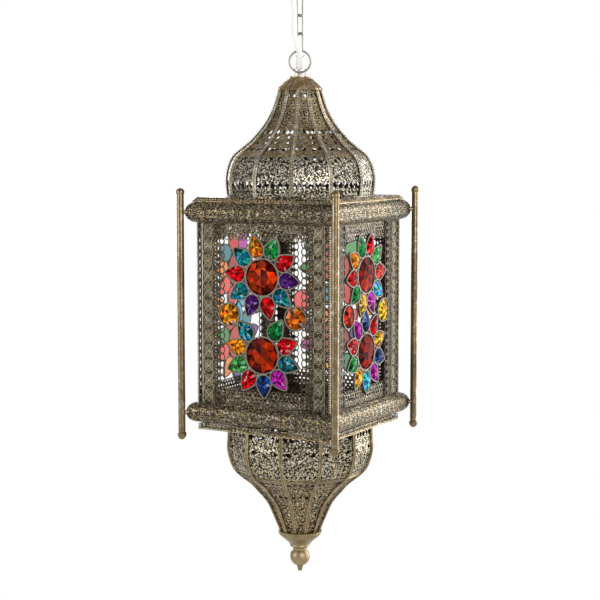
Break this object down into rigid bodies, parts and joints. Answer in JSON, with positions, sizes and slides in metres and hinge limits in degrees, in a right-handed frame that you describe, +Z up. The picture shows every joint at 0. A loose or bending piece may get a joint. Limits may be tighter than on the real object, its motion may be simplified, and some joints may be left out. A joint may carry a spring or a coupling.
{
  "type": "hanging lantern",
  "caption": "Square pierced-brass hanging lantern with jewelled glass flower panels, onion dome, corner posts, hinged domed base, chain, flex and ceiling canopy.",
  "frame": {"origin": "centre of the top face of the ceiling fixing plate, on the ceiling plane; the lantern hangs below it", "axes": "+Z up into the ceiling, the wide jewelled front face looks along -Y, +X to its right"},
  "size_m": [0.2054, 0.2054, 0.6994],
  "materials": {
    "aged_brass": "aged, pierced and embossed sheet, brown-grey patina",
    "bright_brass": "aged brass, rubbed brighter",
    "bezel_silver": "dull tinned wire",
    "steel": "plated steel wire and fittings",
    "white_plastic": "off-white, matte",
    "glass_red": "faceted coloured glass",
    "glass_amber": "faceted coloured glass",
    "glass_green": "faceted coloured glass",
    "glass_teal": "faceted coloured glass",
    "glass_violet": "faceted coloured glass",
    "glass_blue": "faceted coloured glass"
  },
  "bodies": {
    "ceiling": {"ceiling_plate": "steel", "ceiling_canopy": "bright_brass", "ceiling_hook": "steel", "canopy_nut": "bright_brass", "cord_grip": "white_plastic", "flex_upper": "white_plastic"},
    "link_top": {"chain_link_3": "steel"},
    "link_middle": {"chain_link_2": "steel"},
    "link_bottom": {"chain_link_1": "steel"},
    "ring": {"hanging_ring": "steel"},
    "hatch": {"base_plate": "aged_brass", "hatch_leaf": "steel", "lower_dome_panels": "aged_brass", "lower_dome_ribs": "bright_brass", "lower_cup": "bright_brass", "finial": "bright_brass"},
    "lantern": {"flex_sleeve": "white_plastic", "flex_lower": "white_plastic", "ring_bracket": "bright_brass", "dome_cap": "aged_brass", "dome_panels": "aged_brass", "dome_ribs": "bright_brass", "dome_base_ring": "aged_brass", "top_plate": "aged_brass", "lamp_bridge": "aged_brass", "lampholder": "white_plastic", "top_cornice_front": "aged_brass", "top_cornice_right": "aged_brass", "top_cornice_back": "aged_brass", "top_cornice_left": "aged_brass", "bottom_cornice_front": "aged_brass", "bottom_cornice_right": "aged_brass", "bottom_cornice_back": "aged_brass", "bottom_cornice_left": "aged_brass", "column_front_left": "aged_brass", "column_front_right": "aged_brass", "column_back_right": "aged_brass", "column_back_left": "aged_brass", "top_valances": "aged_brass", "bottom_valances": "aged_brass", "jewel_frame_front": "bezel_silver", "jewel_frame_right": "bezel_silver", "jewel_frame_back": "bezel_silver", "jewel_frame_left": "bezel_silver", "post_front_left": "aged_brass", "post_front_right": "aged_brass", "post_back_right": "aged_brass", "post_back_left": "aged_brass", "post_studs": "bright_brass", "base_frame": "aged_brass", "base_catch": "steel", "base_hinge": "steel", "glass_red": "glass_red", "glass_amber": "glass_amber", "glass_green": "glass_green", "glass_teal": "glass_teal", "glass_violet": "glass_violet", "glass_blue": "glass_blue"}
  },
  "joints": [
    {"name": "top_link_swing", "type": "hinge", "parent": "ceiling", "child": "link_top", "pos_m": [0, 0, -0.04505], "axis": [0.2588, 0.9659, 0], "range_deg": [-25, 25], "deforming": ["flex_upper"]},
    {"name": "middle_link_swing", "type": "hinge", "parent": "link_top", "child": "link_middle", "pos_m": [0, 0, -0.065], "axis": [0.9659, -0.2588, 0], "range_deg": [-25, 25]},
    {"name": "bottom_link_swing", "type": "hinge", "parent": "link_middle", "child": "link_bottom", "pos_m": [0, 0, -0.0853], "axis": [0.2588, 0.9659, 0], "range_deg": [-25, 25]},
    {"name": "ring_swing", "type": "hinge", "parent": "link_bottom", "child": "ring", "pos_m": [0, 0, -0.1056], "axis": [0.9659, -0.2588, 0], "range_deg": [-15, 15]},
    {"name": "lantern_swing", "type": "hinge", "parent": "ring", "child": "lantern", "pos_m": [0, 0, -0.1256], "axis": [0.866, 0.5, 0], "range_deg": [-15, 15], "deforming": ["flex_lower", "flex_sleeve"]},
    {"name": "base_hinge", "type": "hinge", "parent": "lantern", "child": "hatch", "pos_m": [0, 0.087, -0.5212], "axis": [1, 0, 0], "range_deg": [0, 95]}
  ]
}
